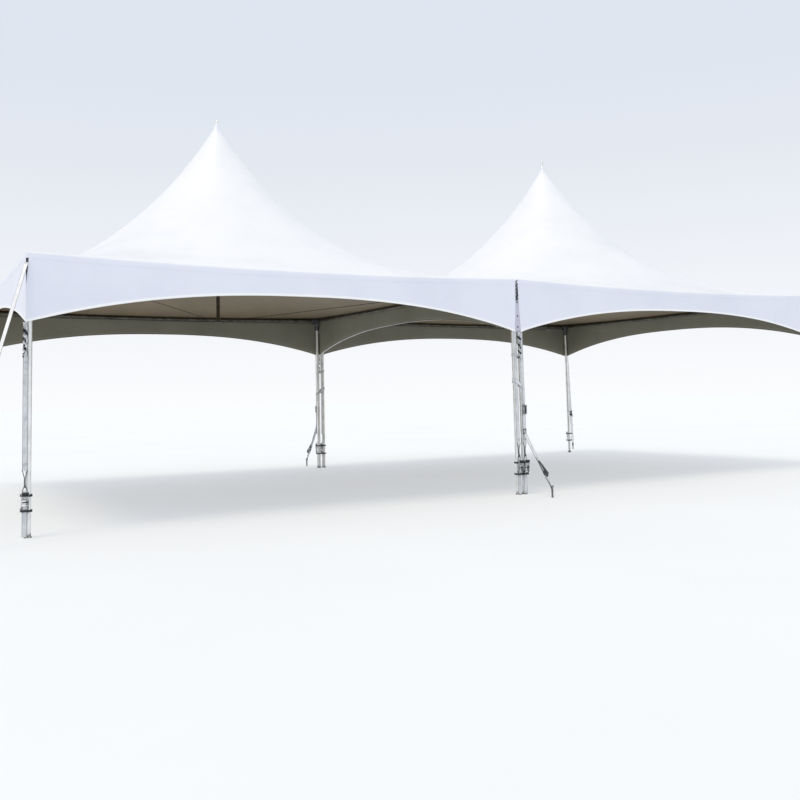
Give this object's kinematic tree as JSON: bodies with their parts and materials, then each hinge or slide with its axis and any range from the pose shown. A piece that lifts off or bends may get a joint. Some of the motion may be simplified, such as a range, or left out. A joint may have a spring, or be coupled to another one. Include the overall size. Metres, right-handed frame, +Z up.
{
  "type": "marquee tent",
  "caption": "White two-bay frame marquee with concave high peaks on masts held by crossed cables, arched valances, round legs, ratchet straps and guys.",
  "frame": {"origin": "on the ground under the middle of the marquee, between the two bays", "axes": "+X along the two bays, +Z up, the front is at -Y"},
  "size_m": [13.8824, 7.7468, 5.5],
  "materials": {
    "white_vinyl": "coated polyester, white outside, low sheen",
    "aluminium_tube": "mill finish extruded tube",
    "cast_aluminium": "cast and welded, dull",
    "steel_cable": "galvanised wire rope",
    "white_webbing": "woven polyester webbing"
  },
  "bodies": {
    "root": {"left_roof_panel_front": "white_vinyl", "left_roof_panel_inner": "white_vinyl", "left_roof_panel_back": "white_vinyl", "left_roof_panel_end": "white_vinyl", "left_valance_front": "white_vinyl", "left_valance_inner": "white_vinyl", "left_valance_back": "white_vinyl", "left_valance_end": "white_vinyl", "left_eave_beam_front": "aluminium_tube", "left_eave_beam_inner": "aluminium_tube", "left_eave_beam_back": "aluminium_tube", "left_eave_beam_end": "aluminium_tube", "left_fitting_front_outer": "cast_aluminium", "left_fitting_front_inner": "cast_aluminium", "left_fitting_back_inner": "cast_aluminium", "left_fitting_back_outer": "cast_aluminium", "left_leg_front_outer": "aluminium_tube", "left_leg_front_inner": "aluminium_tube", "left_leg_back_inner": "aluminium_tube", "left_leg_back_outer": "aluminium_tube", "left_tension_strap_front_outer": "white_webbing", "left_tension_strap_front_inner": "white_webbing", "left_tension_strap_back_inner": "white_webbing", "left_tension_strap_back_outer": "white_webbing", "left_mast": "aluminium_tube", "left_cable_cross": "steel_cable", "right_roof_panel_front": "white_vinyl", "right_roof_panel_inner": "white_vinyl", "right_roof_panel_back": "white_vinyl", "right_roof_panel_end": "white_vinyl", "right_valance_front": "white_vinyl", "right_valance_inner": "white_vinyl", "right_valance_back": "white_vinyl", "right_valance_end": "white_vinyl", "right_eave_beam_front": "aluminium_tube", "right_eave_beam_inner": "aluminium_tube", "right_eave_beam_back": "aluminium_tube", "right_eave_beam_end": "aluminium_tube", "right_fitting_front_outer": "cast_aluminium", "right_fitting_front_inner": "cast_aluminium", "right_fitting_back_inner": "cast_aluminium", "right_fitting_back_outer": "cast_aluminium", "right_leg_front_outer": "aluminium_tube", "right_leg_front_inner": "aluminium_tube", "right_leg_back_inner": "aluminium_tube", "right_leg_back_outer": "aluminium_tube", "right_tension_strap_front_outer": "white_webbing", "right_tension_strap_front_inner": "white_webbing", "right_tension_strap_back_inner": "white_webbing", "right_tension_strap_back_outer": "white_webbing", "right_mast": "aluminium_tube", "right_cable_cross": "steel_cable", "corner_guy_front_left": "white_webbing", "corner_guy_front_right": "white_webbing", "corner_guy_back_left": "white_webbing", "corner_guy_back_right": "white_webbing", "middle_guy_front": "white_webbing", "middle_guy_back": "white_webbing"}
  },
  "joints": []
}
